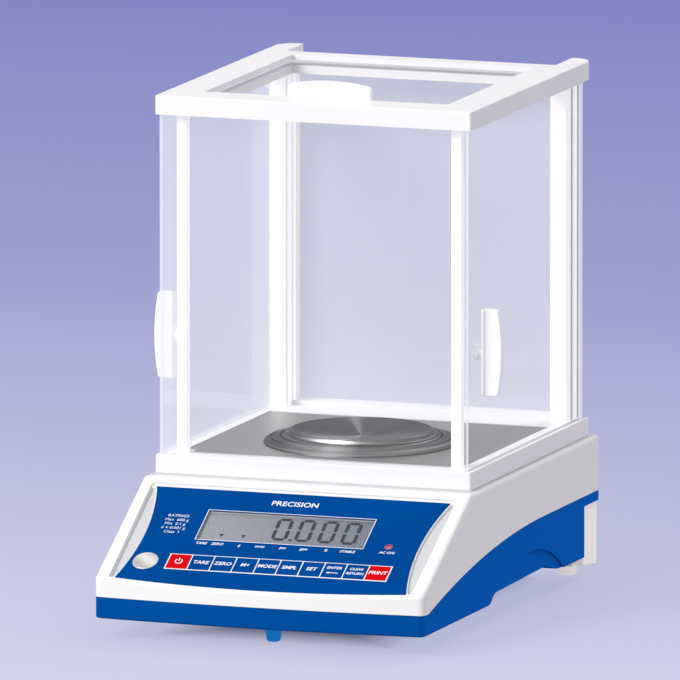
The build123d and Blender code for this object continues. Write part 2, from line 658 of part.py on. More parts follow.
def make_plinth():
    """White frame on the housing: door grooves, the floor's pocket, posts' sockets and sill."""
    half = SHIELD_WIDTH / 2
    ring = shield_block(-half, half, 0, SHIELD_LENGTH, HOUSING_TOP_Z, PLINTH_TOP_Z)
    ring = fillet(ring.edges().filter_by(Axis.Z), 1.5)
    ring = fillet(ring.faces().sort_by(Axis.Z)[-1].edges(), 0.7)
    gap_top, gap = HOUSING_TOP_Z + SHADOW_GAP[0], SHADOW_GAP[1]
    ring -= (shield_block(-half - 1, half + 1, -1, SHIELD_LENGTH + 1, HOUSING_TOP_Z, gap_top)
             - shield_block(-half + gap, half - gap, gap, SHIELD_LENGTH - gap, HOUSING_TOP_Z, gap_top))
    pocket = shield_block(-FLOOR_HALF_WIDTH, FLOOR_HALF_WIDTH, FLOOR_START, FLOOR_END,
                          FLOOR_TOP_Z - FLOOR_THICKNESS, PLINTH_TOP_Z + 1)
    ring -= pocket - floor_corners()
    sill = REAR_POST[0]
    ring += shield_block(-sill, sill, SILL_START, SHIELD_LENGTH - 1.0, PLINTH_TOP_Z - 1.0,
                         PLINTH_TOP_Z + SILL_HEIGHT)
    ring -= shield_block(-78, 78, 34, 156, HOUSING_TOP_Z - 1, PLINTH_TOP_Z + 1)
    groove = door_groove(PLINTH_TOP_Z - DOOR_GROOVE_DEPTH, PLINTH_TOP_Z + 1)
    ring -= groove + mirrored(groove)
    for post in (FRONT_POST, REAR_POST):
        ring -= post_block(post) + mirrored(post_block(post))
    for x, y in post_screw_spots():
        bore = upright(x, y, HOUSING_TOP_Z - 1, PLINTH_TOP_Z, 1.3)
        bore += upright(x, y, HOUSING_TOP_Z - 1, HOUSING_TOP_Z + 3, 2.6)
        ring -= bore
    return ring - make_rear_glass()


def floor_corners():
    """The solid corners of the plinth that the front posts stand in."""
    wide, deep = FLOOR_CORNER
    corner = shield_block(FLOOR_HALF_WIDTH - wide, FLOOR_HALF_WIDTH + 1, FLOOR_START - 1,
                          FLOOR_START + deep, HOUSING_TOP_Z, PLINTH_TOP_Z + 2)
    return corner + mirrored(corner)


def post_screw_spots():
    """Centres of the screws that hold the posts to the plinth."""
    spots = []
    for x0, x1, behind0, behind1 in (FRONT_POST, REAR_POST):
        y = SHIELD_FRONT_Y + (behind0 + behind1) / 2
        spots += [((x0 + x1) / 2, y), (-(x0 + x1) / 2, y)]
    return spots


def make_post_screws():
    """Four screws up through the plinth into the posts."""
    screws = [screw(x, y, HOUSING_TOP_Z + 3, 12, 1.25, 2.4, 1.6) for x, y in post_screw_spots()]
    return Compound(children=screws)


def make_top_frame():
    """White top frame: rails, front and rear bars, and two arms that carry the open doors."""
    half = SHIELD_WIDTH / 2
    frame = shield_block(-half, half, 0, ARM_LENGTH, TOP_FRAME_Z, TOP_Z)
    frame = fillet(frame.edges().filter_by(Axis.Z).group_by(Axis.Y)[-1], ARM_CORNER_RADIUS)
    frame = fillet(frame.edges().filter_by(Axis.Z).group_by(Axis.Y)[0], 1.5)
    inner = half - ARM_WIDTH
    frame -= shield_block(-inner, inner, TOP_FRAME_LENGTH, SHELF_END + 1,
                          TOP_FRAME_Z + SHELF_THICKNESS, TOP_Z + 1)
    frame -= shield_block(-inner, inner, SHELF_END, ARM_LENGTH + 5, TOP_FRAME_Z - 1, TOP_Z + 1)
    frame = fillet(frame.faces().sort_by(Axis.Z)[-1].edges(), 0.7)
    opening = half - SIDE_RAIL_WIDTH
    frame -= shield_block(-opening, opening, FRONT_BAR_WIDTH, TOP_FRAME_LENGTH - REAR_BAR_WIDTH,
                          TOP_FRAME_Z - 1, TOP_Z + 1)
    slot = TOP_GLASS_HALF_WIDTH + RUNNING_GAP
    frame -= shield_block(-slot, slot, TOP_GLASS_START - RUNNING_GAP, TOP_FRAME_LENGTH + 5,
                          TOP_GLASS_Z - RUNNING_GAP, TOP_GLASS_Z + GLASS + RUNNING_GAP)
    groove = door_groove(TOP_FRAME_Z - 1, TOP_FRAME_Z + DOOR_GROOVE_DEPTH + 1)
    frame -= groove + mirrored(groove)
    for post in (FRONT_POST, REAR_POST):
        frame -= post_block(post) + mirrored(post_block(post))
    return frame - make_front_glass() - make_rear_glass()


def make_floor_plate():
    """Stainless floor of the chamber, notched round the front posts' corners."""
    plate = shield_block(-FLOOR_HALF_WIDTH, FLOOR_HALF_WIDTH, FLOOR_START, FLOOR_END,
                         FLOOR_TOP_Z - FLOOR_THICKNESS, FLOOR_TOP_Z)
    plate -= floor_corners()
    return plate - upright(0, PAN_Y, 0, TOP_Z, FLOOR_HOLE_RADIUS)


# ---------------------------------------------------------------- sliding doors
def fin(reach, length=FIN_LENGTH):
    """A handle in its own frame: it stands along +Z, is long along X and thin along Y."""
    half = length / 2
    end = reach - (FIN_REACH - FIN_END_REACH)
    face = make_face([
        Line((-half, 0), (half, 0)),
        Line((half, 0), (half, end)),
        ThreePointArc((half, end), (0, reach), (-half, end)),
        Line((-half, end), (-half, 0)),
    ])
    face = fillet(face.vertices().group_by(Axis.Y)[-1], 2.5)
    blade = extrude(Plane.XZ * face, FIN_THICKNESS / 2, both=True)
    blade = fillet(blade.faces().filter_by(Axis.Y).edges() - blade.edges().group_by(Axis.Z)[0], 0.9)
    foot = fillet(block(-half, half, -4, 4, 0, 1.2).edges().filter_by(Axis.Z), 2.0)
    stud = upright(0, 0, -GLASS - 1.6, 0.5, STUD_RADIUS)
    return blade + foot + stud


def knob():
    """The small inner button, in the fin's frame, on the far face of the pane."""
    button = upright(0, 0, -GLASS - KNOB_THICKNESS, -GLASS, KNOB_RADIUS)
    button = fillet(button.edges().group_by(Axis.Z)[0], 1.0)
    return button - upright(0, 0, -GLASS - 1.7, 0, STUD_RADIUS + 0.05)


def side_place():
    """Where the right pane's handle stands, turned to point outwards."""
    y = SHIELD_FRONT_Y + SIDE_FIN_SETBACK
    return Pos(DOOR_INNER_X + GLASS, y, SIDE_FIN_Z) * Rot(0, 90, 0)


def top_place():
    """Where the top pane's handle stands."""
    return Pos(0, SHIELD_FRONT_Y + TOP_FIN_SETBACK, TOP_GLASS_Z + GLASS)


def make_side_glass():
    """Right-hand sliding pane, drilled for its handle."""
    pane = block(DOOR_INNER_X, DOOR_INNER_X + GLASS, DOOR_FRONT_Y, DOOR_FRONT_Y + DOOR_LENGTH,
                 PLINTH_TOP_Z - DOOR_GROOVE_DEPTH + RUNNING_GAP,
                 TOP_FRAME_Z + DOOR_GROOVE_DEPTH + 1 - RUNNING_GAP)
    pane = chamfer(pane.edges().filter_by(Axis.Z), 0.4)
    return pane - side_place() * Cylinder(STUD_RADIUS + 0.1, 8)


def make_top_glass():
    """Sliding pane of the top opening."""
    half = TOP_GLASS_HALF_WIDTH
    pane = shield_block(-half, half, TOP_GLASS_START, TOP_GLASS_START + TOP_GLASS_LENGTH,
                        TOP_GLASS_Z, TOP_GLASS_Z + GLASS)
    pane = chamfer(pane.edges().filter_by(Axis.Z), 0.4)
    return pane - top_place() * Cylinder(STUD_RADIUS + 0.1, 8)


# ---------------------------------------------------------------- pan
def make_draft_ring():
    """Low stainless ring, grooved near its edge, that lies on the floor round the pan."""
    z, inner, outer = FLOOR_TOP_Z, RING_INNER_RADIUS, RING_OUTER_RADIUS
    profile = Polyline(
        (inner, z), (outer, z), (outer, z + 0.6), (outer - 1.0, z + 1.9), (outer - 3.0, z + 3.0),
        (outer - 3.8, z + 3.1), (outer - 4.0, z + 2.5), (outer - 4.6, z + 2.5), (outer - 4.8, z + 3.4),
        (inner + 0.6, z + 4.2), (inner, z + 4.0), close=True)
    return Pos(0, PAN_Y, 0) * revolve(Plane.XZ * make_face(profile), Axis.Z)


def make_pan():
    """Round stainless pan: a shallow cone with a flat middle, a raised rim and a low skirt."""
    z = PAN_SEAT_Z
    profile = Polyline(
        (0, z), (30, z), (34, z + 0.8), (38.5, z + 3.4), (40.8, z + 3.6), (42.0, z + 1.6),
        (43.2, z + 1.0), (46.4, z + 0.5), (PAN_RADIUS, z + 0.5), (PAN_RADIUS, z + 1.5),
        (46.8, z + 1.9), (44.0, z + 2.4), (43.3, z + 2.9), (42.5, z + 4.6), (41.9, z + 5.2),
        (41.1, z + 5.4), (40.2, z + 5.1), (PAN_FLAT_RADIUS, z + PAN_THICKNESS),
        (0, z + PAN_THICKNESS), close=True)
    return Pos(0, PAN_Y, 0) * revolve(Plane.XZ * make_face(profile), Axis.Z)


def make_pan_support():
    """Plate and hub under the pan, which stand on the spindle."""
    disc = upright(0, PAN_Y, PAN_SEAT_Z - 1.6, PAN_SEAT_Z, 28.0)
    hub = upright(0, PAN_Y, HOUSING_TOP_Z - 3, PAN_SEAT_Z - 1, 8.0)
    bore = upright(0, PAN_Y, HOUSING_TOP_Z - 5, PAN_SEAT_Z - 3, SPINDLE_RADIUS + SPINDLE_FIT)
    return disc + hub - bore


def make_pan_spindle():
    """Stud on the free end of the load cell that carries the pan's support."""
    flange = upright(0, PAN_Y, CELL_Z + CELL_SIZE[2], CELL_Z + CELL_SIZE[2] + 3, 9.0)
    return flange + upright(0, PAN_Y, CELL_Z + CELL_SIZE[2], PAN_SEAT_Z - 3.4, SPINDLE_RADIUS)


# ---------------------------------------------------------------- inside the housing
def make_load_cell():
    """Single-point cell: a beam with two joined holes that bends a hair under load."""
    width, length, height = CELL_SIZE
    beam = block(-width / 2, width / 2, CELL_FRONT_Y, CELL_FRONT_Y + length, CELL_Z, CELL_Z + height)
    beam = chamfer(beam.edges().filter_by(Axis.Z), 1.0)
    middle_y, middle_z = CELL_FRONT_Y + length / 2 - 4, CELL_Z + height / 2
    for side in (-1, 1):
        beam -= Pos(0, middle_y + side * 17, middle_z) * Rot(0, 90, 0) * Cylinder(10.5, width + 2)
    beam -= block(-width, width, middle_y - 17, middle_y + 17, middle_z - 3, middle_z + 3)
    for setback in CELL_SCREW_SETBACKS:
        y = CELL_FRONT_Y + length - setback
        beam -= upright(0, y, CELL_Z - 1, CELL_Z + height + 1, 2.7)
    return beam


def make_load_cell_mount():
    """Block that lifts the cell's fixed end off the floor."""
    back = CELL_FRONT_Y + CELL_SIZE[1]
    mount = block(-17, 17, back - CELL_MOUNT_LENGTH, back, BASE_Z + SKIRT_REAR[1] + WALL, CELL_Z)
    for setback in CELL_SCREW_SETBACKS:
        mount -= upright(0, back - setback, CELL_Z - 12, CELL_Z + 1, 2.4)
    return mount - below_skirt(WALL)


def make_load_cell_screws():
    """Two socket screws through the cell's fixed end into its mount."""
    top = CELL_Z + CELL_SIZE[2]
    screws = []
    for setback in CELL_SCREW_SETBACKS:
        y = CELL_FRONT_Y + CELL_SIZE[1] - setback
        head = chamfer(upright(0, y, top, top + 5, 4.2).edges().group_by(Axis.Z)[-1], 0.5)
        socket = Pos(0, y, top + 3) * extrude(RegularPolygon(2.2, 6), 3)
        screws.append(head + upright(0, y, CELL_Z - 12, top, 2.4) - socket)
    return Compound(children=screws)


def make_display_board():
    """Board behind the panel, with one push switch under each key."""
    board = panel_block((0, 43), (160, 68), BOARD_FACE, BOARD_FACE + BOARD_THICKNESS)
    for index in range(len(KEY_NAMES)):
        board += panel_block(key_centre(index), (6, 6), SWITCH_TOP + 0.6, BOARD_FACE + 0.5)
        board += panel_rod(key_centre(index), 1.7, SWITCH_TOP, BOARD_FACE)
    header_top = BOARD_FACE + BOARD_THICKNESS
    header_x = (MAIN_BOARD[0] + MAIN_BOARD[1]) / 2
    board += panel_block((header_x, 60), (24, 6), header_top - 0.5, header_top + 4)
    return board


def make_lcd_module():
    """Display glass in a stepped bezel that stands on the board."""
    module = panel_block(DISPLAY_CENTRE, (DISPLAY_SIZE[0] + 6, DISPLAY_SIZE[1] + 7), 4.3, BOARD_FACE)
    glass = panel_block(DISPLAY_CENTRE, (DISPLAY_SIZE[0] + 0.2, DISPLAY_SIZE[1] + 0.2), LCD_FACE, 5)
    return module + glass


def make_display_window():
    """Clear window laid in its rebate under the overlay."""
    size = (DISPLAY_SIZE[0] + 4.0, DISPLAY_SIZE[1] + 4.0)
    return panel_block(DISPLAY_CENTRE, size, RECESS_DEPTH, RECESS_DEPTH + 1.0)


def make_overlay():
    """Blue printed overlay with openings for the display, keys, level and lamp."""
    sheet = panel_cut(overlay_outline(), RECESS_DEPTH - OVERLAY_THICKNESS, RECESS_DEPTH)
    sheet -= panel_block(DISPLAY_CENTRE, DISPLAY_SIZE, 0, 3)
    opening = KEY_PITCH - KEY_WEB
    for index in range(len(KEY_NAMES)):
        sheet -= panel_block(key_centre(index), (opening, opening), 0, 3)
    sheet -= panel_rod(LEVEL_CENTRE, LEVEL_RADIUS + 0.2, 0, 3)
    return sheet - panel_rod(LED_CENTRE, LED_RADIUS + 0.2, 0, 3)


def make_key(index):
    """One key: a square cap a little proud of the overlay and its stem."""
    size = KEY_PITCH - KEY_WEB - 2 * KEY_GAP
    bottom = RECESS_DEPTH - KEY_TRAVEL - 0.05
    cap = panel_block(key_centre(index), (size, size), bottom - KEY_CAP_THICKNESS, bottom)
    return cap + panel_rod(key_centre(index), KEY_STEM_RADIUS, bottom, SWITCH_TOP - KEY_TRAVEL - 0.1)


def make_level_cup():
    """White cup of the bubble level, with a flange behind the panel."""
    cup = panel_rod(LEVEL_CENTRE, LEVEL_RADIUS + 0.2, 1.6, 8.0)
    cup += panel_rod(LEVEL_CENTRE, LEVEL_RADIUS + 2.0, PANEL_WALL, PANEL_WALL + 1.2)
    return cup - panel_rod(LEVEL_CENTRE, LEVEL_RADIUS - 1.4, 0, 6.5)


def make_level_lens():
    """Round silvered lens over the bubble."""
    lens = panel_rod(LEVEL_CENTRE, LEVEL_RADIUS, 0.2, 1.6)
    rim = [e for e in lens.edges().filter_by(GeomType.CIRCLE)]
    rim.sort(key=lambda e: e.center().Z)
    return fillet(rim[-1], 0.6)


def make_status_led():
    """Indicator lamp: domed lens, collar and two legs to the board."""
    lamp = panel_rod(LED_CENTRE, LED_RADIUS, 0.9, 6.0)
    lamp += panel_rod(LED_CENTRE, LED_RADIUS + 0.5, PANEL_WALL + 0.1, PANEL_WALL + 1.4)
    for side in (-0.8, 0.8):
        lamp += panel_rod((LED_CENTRE[0] + side, LED_CENTRE[1]), 0.3, 5.5, BOARD_FACE)
    return lamp


def make_main_board():
    """Main circuit board with its converter, processor, relay and sockets."""
    x0, x1, y0, y1 = MAIN_BOARD
    z = MAIN_BOARD_Z + 1.6
    board = block(x0, x1, y0, y1, MAIN_BOARD_Z, z)
    middle = (x0 + x1) / 2
    board += block(middle - 13, middle + 13, y0, y0 + 6, z, z + 6)
    board += block(x0 + 8, x0 + 28, y0 + 18, y0 + 38, z, z + 2.4)
    board += block(x0 + 40, x0 + 56, y0 + 24, y0 + 44, z, z + 12)
    for index in range(3):
        board += upright(x0 + 14 + 12 * index, y1 - 20, z - 0.5, z + 11, 4.0)
    board += block(x0 + 8, x0 + 30, y1 - 10, y1 - 3, z, z + 8)
    return board


def make_battery_pack():
    """Rechargeable pack that keeps the balance on without mains power."""
    pack = block(24, 86, 34, 92, BASE_Z + HAND_HOLD_END[1] + WALL + 0.2, 58)
    pack = fillet(pack.edges(), 2.0)
    return pack


def make_ribbon_cable():
    """Flat cable from the display board's header back to the main board."""
    x = (MAIN_BOARD[0] + MAIN_BOARD[1]) / 2
    start = PANEL.from_local_coords(Vector(x, 60, -(BOARD_FACE + BOARD_THICKNESS + 4)))
    end = Vector(x, MAIN_BOARD[2], MAIN_BOARD_Z + 4.6)
    corner = Vector(x, start.Y + (start.Z - end.Z) * tan(radians(PANEL_ANGLE)), end.Z)
    path = FilletPolyline(start, corner, end, radius=6)
    section = Plane(origin=path @ 0, z_dir=path % 0, x_dir=(1, 0, 0)) * Rectangle(20, 0.8)
    return sweep(section, path)


# ---------------------------------------------------------------- the balance
def all_nodes():
    """Every piece by its name."""
    envelope = housing_envelope()
    side_handle, side_knob = side_place() * fin(FIN_REACH), side_place() * knob()
    nodes = {
        "base_housing": make_base_housing(envelope),
        "top_housing": make_top_housing(envelope),
        "housing_screws": make_housing_screws(),
        "front_foot": make_front_foot(),
        "rear_panel": make_rear_panel(),
        "rear_panel_screws": make_rear_panel_screws(),
        "power_inlet": make_power_inlet(),
        "data_port": make_data_port(),
        "foot_inserts": make_foot_inserts(),
        "shield_base_frame": make_plinth(),
        "top_frame": make_top_frame(),
        "post_screws": make_post_screws(),
        "front_glass": make_front_glass(),
        "rear_glass": make_rear_glass(),
        "chamber_floor_plate": make_floor_plate(),
        "top_door_glass": make_top_glass(),
        "top_door_handle": top_place() * fin(TOP_FIN_REACH),
        "top_door_knob": top_place() * knob(),
        "draft_ring": make_draft_ring(),
        "weighing_pan": make_pan(),
        "pan_support": make_pan_support(),
        "pan_spindle": make_pan_spindle(),
        "load_cell": make_load_cell(),
        "load_cell_mount": make_load_cell_mount(),
        "load_cell_screws": make_load_cell_screws(),
        "keypad_overlay": make_overlay(),
        "display_window": make_display_window(),
        "lcd_module": make_lcd_module(),
        "display_board": make_display_board(),
        "main_board": make_main_board(),
        "battery_pack": make_battery_pack(),
        "ribbon_cable": make_ribbon_cable(),
        "level_vial_housing": make_level_cup(),
        "level_lens": make_level_lens(),
        "status_led": make_status_led(),
    }
    right_hand = {
        "front_post": make_front_post(),
        "rear_post": make_rear_post(),
        "door_glass": make_side_glass(),
        "door_handle": side_handle,
        "door_knob": side_knob,
        "foot_pad": make_foot_pad(),
        "foot_screw": make_foot_screw(),
    }
    for name, solid in right_hand.items():
        nodes["right_" + name] = solid
        nodes["left_" + name] = mirrored(solid)
    for index, name in enumerate(KEY_NAMES):
        nodes["key_" + name] = make_key(index)
    return nodes


os.makedirs("parts", exist_ok=True)
for node, shape in all_nodes().items():
    export_step(shape, "parts/" + node + ".step")
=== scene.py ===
from math import cos, radians, sin

import bmesh
import bpy
from mathutils import Matrix, Vector


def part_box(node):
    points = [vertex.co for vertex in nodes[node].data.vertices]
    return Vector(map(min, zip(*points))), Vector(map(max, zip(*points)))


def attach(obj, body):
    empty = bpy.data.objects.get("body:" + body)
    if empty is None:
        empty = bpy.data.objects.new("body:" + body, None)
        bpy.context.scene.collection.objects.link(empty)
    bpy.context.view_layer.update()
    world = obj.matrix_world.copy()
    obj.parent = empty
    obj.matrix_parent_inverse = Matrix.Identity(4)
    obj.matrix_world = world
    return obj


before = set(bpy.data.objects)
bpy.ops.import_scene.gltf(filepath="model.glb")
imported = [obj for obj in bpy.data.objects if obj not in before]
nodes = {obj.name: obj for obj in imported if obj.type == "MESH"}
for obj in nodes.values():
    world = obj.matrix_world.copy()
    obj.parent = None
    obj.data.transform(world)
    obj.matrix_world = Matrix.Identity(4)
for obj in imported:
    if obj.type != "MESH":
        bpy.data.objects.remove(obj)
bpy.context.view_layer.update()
MM = 0.001

# View
VIEW_AZIMUTH = radians(19.515)
VIEW_ELEVATION = radians(9.23)
VIEW_DISTANCE = 16.0
VIEW_SIZE = 0.40076            # how much of the scene the picture spans at the target
VIEW_TARGET = Vector((-0.00357, -0.00340, 0.15925))

# Control panel: it slopes up to the back
PANEL_ANGLE = radians(29.0)
OVERLAY_TOP_EDGE = 88.3        # of the overlay, in mm up the slope from the panel's front line
LIFT = 0.05                    # mm that print stands above what it is printed on

# Colours, linear
WHITE = (0.86, 0.86, 0.86)
FRAME_WHITE = (0.88, 0.88, 0.89)
CREAM = (0.88, 0.84, 0.81)
# painted shade on the floor of the sunk crescents beside the overlay
PAINTED_SCOOP_SHADE = (0.60, 0.62, 0.64)
BLUE = (0.0006, 0.074, 0.325)
# painted light: the blue made lighter on faces that look sideways
PAINTED_SIDE_LIGHT_BLUE = (0.004, 0.124, 0.56)
FOOT_BLUE = (0.001, 0.20, 0.58)
OVERLAY_BLUE = (0.0004, 0.060, 0.27)
RED = (0.64, 0.004, 0.008)
INK_WHITE = (0.87, 0.89, 0.93)
LCD_GREY = (0.270, 0.276, 0.306)
LCD_BLUE = (0.120, 0.150, 0.205)
SEGMENT = (0.012, 0.013, 0.018)
STEEL = (0.345, 0.33, 0.32)
PAN_STEEL = (0.23, 0.23, 0.228)
STEEL_EDGE = (0.6, 0.6, 0.6, 1)    # share of its shine that turned steel keeps at a grazing angle
# painted highlights and shade on turned steel: tones by share of a turn about the pan's centre
PAINTED_STEEL_FAN = ((0.0, 0.17), (0.14, 0.25), (0.215, 0.60), (0.24, 0.95), (0.26, 0.95), (0.30, 0.45),
             (0.5, 0.25), (0.70, 0.19), (0.795, 0.21), (0.82, 0.70), (0.84, 0.21), (1.0, 0.17))
FAN_GAIN = 2.8                 # the fan's tone 1 is this many times the steel's colour
# painted shade in the slots of the rear posts
PAINTED_SLOT_SHADE = (0.50, 0.48, 0.50)
PAINTED_POST_GLOW = 0.42               # painted light, of a slotted post's outer faces
SLOT_GLOW = 0.12               # painted light, less of it in its slots
SLOT_GLOW_DEPTH = (0.0002, 0.0008)     # m below the outer faces over which the glow falls
SLOT_SHADE_DEPTH = (0.0003, 0.0012)    # and over which the colour darkens
GLASS = (0.30, 0.305, 0.32)
# painted light: the panes' haze and their cut edges glow
GLASS_GLOW_COLOUR = (0.89, 0.90, 1, 1)
EDGE_ALPHA = 0.75              # of a pane's cut edges
EDGE_GLOW = 0.6
EDGE_TURN = (0.4, 0.8)         # normal across the pane, from a cut edge to a face
FLOOR_GREY = (0.10, 0.102, 0.124)
FLOOR_SHADES = ((0.0, (0.533, 0.543, 0.645)), (0.15, (0.451, 0.459, 0.618)),
                (0.56, (0.206, 0.226, 0.475)), (1.0, (0.106, 0.124, 0.418)))
# painted shadow: the floor's glow fades under the housing
FLOOR_REACH = (0.026, 0.076)   # m inside the housing's outline: the floor's light starts to
FLOOR_DIM = 0.10               # fade there, and has fallen to this share
FLOOR_SPAN = (-0.4, 2.4)       # m along Y that the shades are spread over
FLOOR_SIZE = 9.0
WORLD_COLOUR = (1.0, 0.965, 0.99, 1)
WORLD_STRENGTH = 0.585
LIGHT_AIM = Vector((0, 0, 0.12))


# ---------------------------------------------------------------- node materials
class Shader:
    """A Principled material and short calls for the nodes that vary it."""

    def __init__(self, name, colour, roughness, **sockets):
        self.material = bpy.data.materials.new(name)
        self.material.use_nodes = True
        self.tree = self.material.node_tree
        self.bsdf = self.tree.nodes["Principled BSDF"]
        self.bsdf.inputs["Base Color"].default_value = (*colour, 1)
        self.bsdf.inputs["Roughness"].default_value = roughness
        for label, value in sockets.items():
            self.bsdf.inputs[label.replace("_", " ")].default_value = value
        self.place = self.node("ShaderNodeTexCoord").outputs["Object"]

    def node(self, kind, **settings):
        """A new node with some of its settings."""
        made = self.tree.nodes.new(kind)
        for label, value in settings.items():
            setattr(made, label, value)
        return made

    def link(self, source, target):
        self.tree.links.new(source, target)

    def stretched(self, scale):
        """Object coordinates scaled by an amount for each axis."""
        mapping = self.node("ShaderNodeMapping")
        mapping.inputs["Scale"].default_value = scale
        self.link(self.place, mapping.inputs["Vector"])
        return mapping.outputs["Vector"]

    def noise(self, scale, detail=2.0, where=None):
        """Noise over the object, or over other coordinates."""
        texture = self.node("ShaderNodeTexNoise")
        texture.inputs["Scale"].default_value = scale
        texture.inputs["Detail"].default_value = detail
        self.link(where or self.place, texture.inputs["Vector"])
        return texture.outputs["Fac"]

    def spread(self, value, low, high, from_low=0.3, from_high=0.7):
        """A value brought into a range."""
        ranged = self.node("ShaderNodeMapRange")
        for label, number in (("From Min", from_low), ("From Max", from_high),
                              ("To Min", low), ("To Max", high)):
            ranged.inputs[label].default_value = number
        self.link(value, ranged.inputs["Value"])
        return ranged.outputs["Result"]

    def tint(self, value, first, second):
        """The base colour varies between two colours."""
        mix = self.node("ShaderNodeMix", data_type="RGBA")
        mix.inputs[6].default_value = (*first, 1)
        mix.inputs[7].default_value = (*second, 1)
        self.link(value, mix.inputs[0])
        self.link(mix.outputs[2], self.bsdf.inputs["Base Color"])

    def inside(self, node, place):
        """How far a place lies inside the upright sides of a node's box."""
        low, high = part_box(node)
        nearest = None
        for axis, start, end in (("X", low.x, high.x), ("Y", low.y, high.y)):
            for edge, sign in ((start, 1), (end, -1)):
                away = self.node("ShaderNodeMath", operation="MULTIPLY_ADD")
                self.link(place.outputs[axis], away.inputs[0])
                away.inputs[1].default_value = sign
                away.inputs[2].default_value = -sign * edge
                if nearest:
                    least = self.node("ShaderNodeMath", operation="MINIMUM")
                    self.link(nearest.outputs["Value"], least.inputs[0])
                    self.link(away.outputs["Value"], least.inputs[1])
                nearest = least if nearest else away
        return nearest.outputs["Value"]

    def along(self, place):
        """A vector's X, Y and Z."""
        parts = self.node("ShaderNodeSeparateXYZ")
        self.link(place, parts.inputs["Vector"])
        return parts

    def facing(self, axis):
        """How squarely a face looks along an axis, either way: 1 is square on."""
        normal = self.along(self.node("ShaderNodeNewGeometry").outputs["Normal"])
        size = self.node("ShaderNodeMath", operation="ABSOLUTE")
        self.link(normal.outputs[axis], size.inputs[0])
        return size.outputs["Value"]

    def ramp(self, value, stops):
        """A value turned into colour by stops, each a share of the way and its colour."""
        made = self.node("ShaderNodeValToRGB")
        while len(made.color_ramp.elements) < len(stops):
            made.color_ramp.elements.new(0.5)
        for element, (share, colour) in zip(made.color_ramp.elements, stops):
            element.position = share
            element.color = (*colour, 1)
        self.link(value, made.inputs["Fac"])
        return made.outputs["Color"]

    def roughen(self, value):
        """The roughness follows a value."""
        self.link(value, self.bsdf.inputs["Roughness"])

    def bump(self, value, depth, strength=1.0):
        """Relief of a depth in metres."""
        relief = self.node("ShaderNodeBump")
        relief.inputs["Distance"].default_value = depth
        relief.inputs["Strength"].default_value = strength
        self.link(value, relief.inputs["Height"])
        self.link(relief.outputs["Normal"], self.bsdf.inputs["Normal"])


def scaled(colour, factor):
    """A colour made lighter or darker."""
    return tuple(channel * factor for channel in colour)


def plastic(name, colour, roughness, grain=2600.0, depth=0.000012, glow=0.0, **sockets):
    """Moulded plastic: spark-eroded grain, slight change of shade and of gloss."""
    # glow is painted light: the plastic glows though it is no lamp
    made = Shader(name, colour, roughness, Emission_Strength=glow, **sockets)
    made.bsdf.inputs["Emission Color"].default_value = (*colour, 1)
    made.tint(made.spread(made.noise(9.0), 0, 1), scaled(colour, 0.97), colour)
    made.roughen(made.spread(made.noise(70.0, 3.0), roughness - 0.05, roughness + 0.05))
    made.bump(made.noise(grain, 1.0), depth, 0.6)
    return made.material


def slotted_post(node):
    """White moulding that glows with painted light, and whose narrow slots are darkened to painted
    shade by their depth inside the post's box.
    """
    made = Shader(node + "_white", FRAME_WHITE, 0.36)
    made.bsdf.inputs["Emission Color"].default_value = (*FRAME_WHITE, 1)
    depth = made.inside(node, made.along(made.place))
    made.link(made.spread(depth, PAINTED_POST_GLOW, SLOT_GLOW, *SLOT_GLOW_DEPTH),
              made.bsdf.inputs["Emission Strength"])
    made.tint(made.spread(depth, 0, 1, *SLOT_SHADE_DEPTH), FRAME_WHITE, PAINTED_SLOT_SHADE)
    made.roughen(made.spread(made.noise(70.0, 3.0), 0.31, 0.41))
    made.bump(made.noise(2600.0, 1.0), 0.000012, 0.6)
    return made.material


def printed_film(name, colour, roughness=0.42):
    """Screen-printed polyester: a velvet surface over an even ink."""
    made = Shader(name, colour, roughness, Specular_IOR_Level=0.0)
    made.tint(made.spread(made.noise(25.0), 0, 1), scaled(colour, 0.94), scaled(colour, 1.05))
    made.roughen(made.spread(made.noise(300.0), roughness - 0.04, roughness + 0.06))
    made.bump(made.noise(5200.0, 1.0), 0.000006, 0.7)
    return made.material


def brushed(name, colour, roughness, stretch):
    """Metal brushed in straight lines, fine across them and long along them."""
    made = Shader(name, colour, roughness, Metallic=1.0)
    lines = made.noise(1.0, 4.0, made.stretched(stretch))
    made.tint(made.spread(lines, 0, 1), scaled(colour, 0.86), scaled(colour, 1.06))
    made.roughen(made.spread(lines, roughness - 0.07, roughness + 0.08))
    made.bump(lines, 0.000008, 0.5)
    return made.material


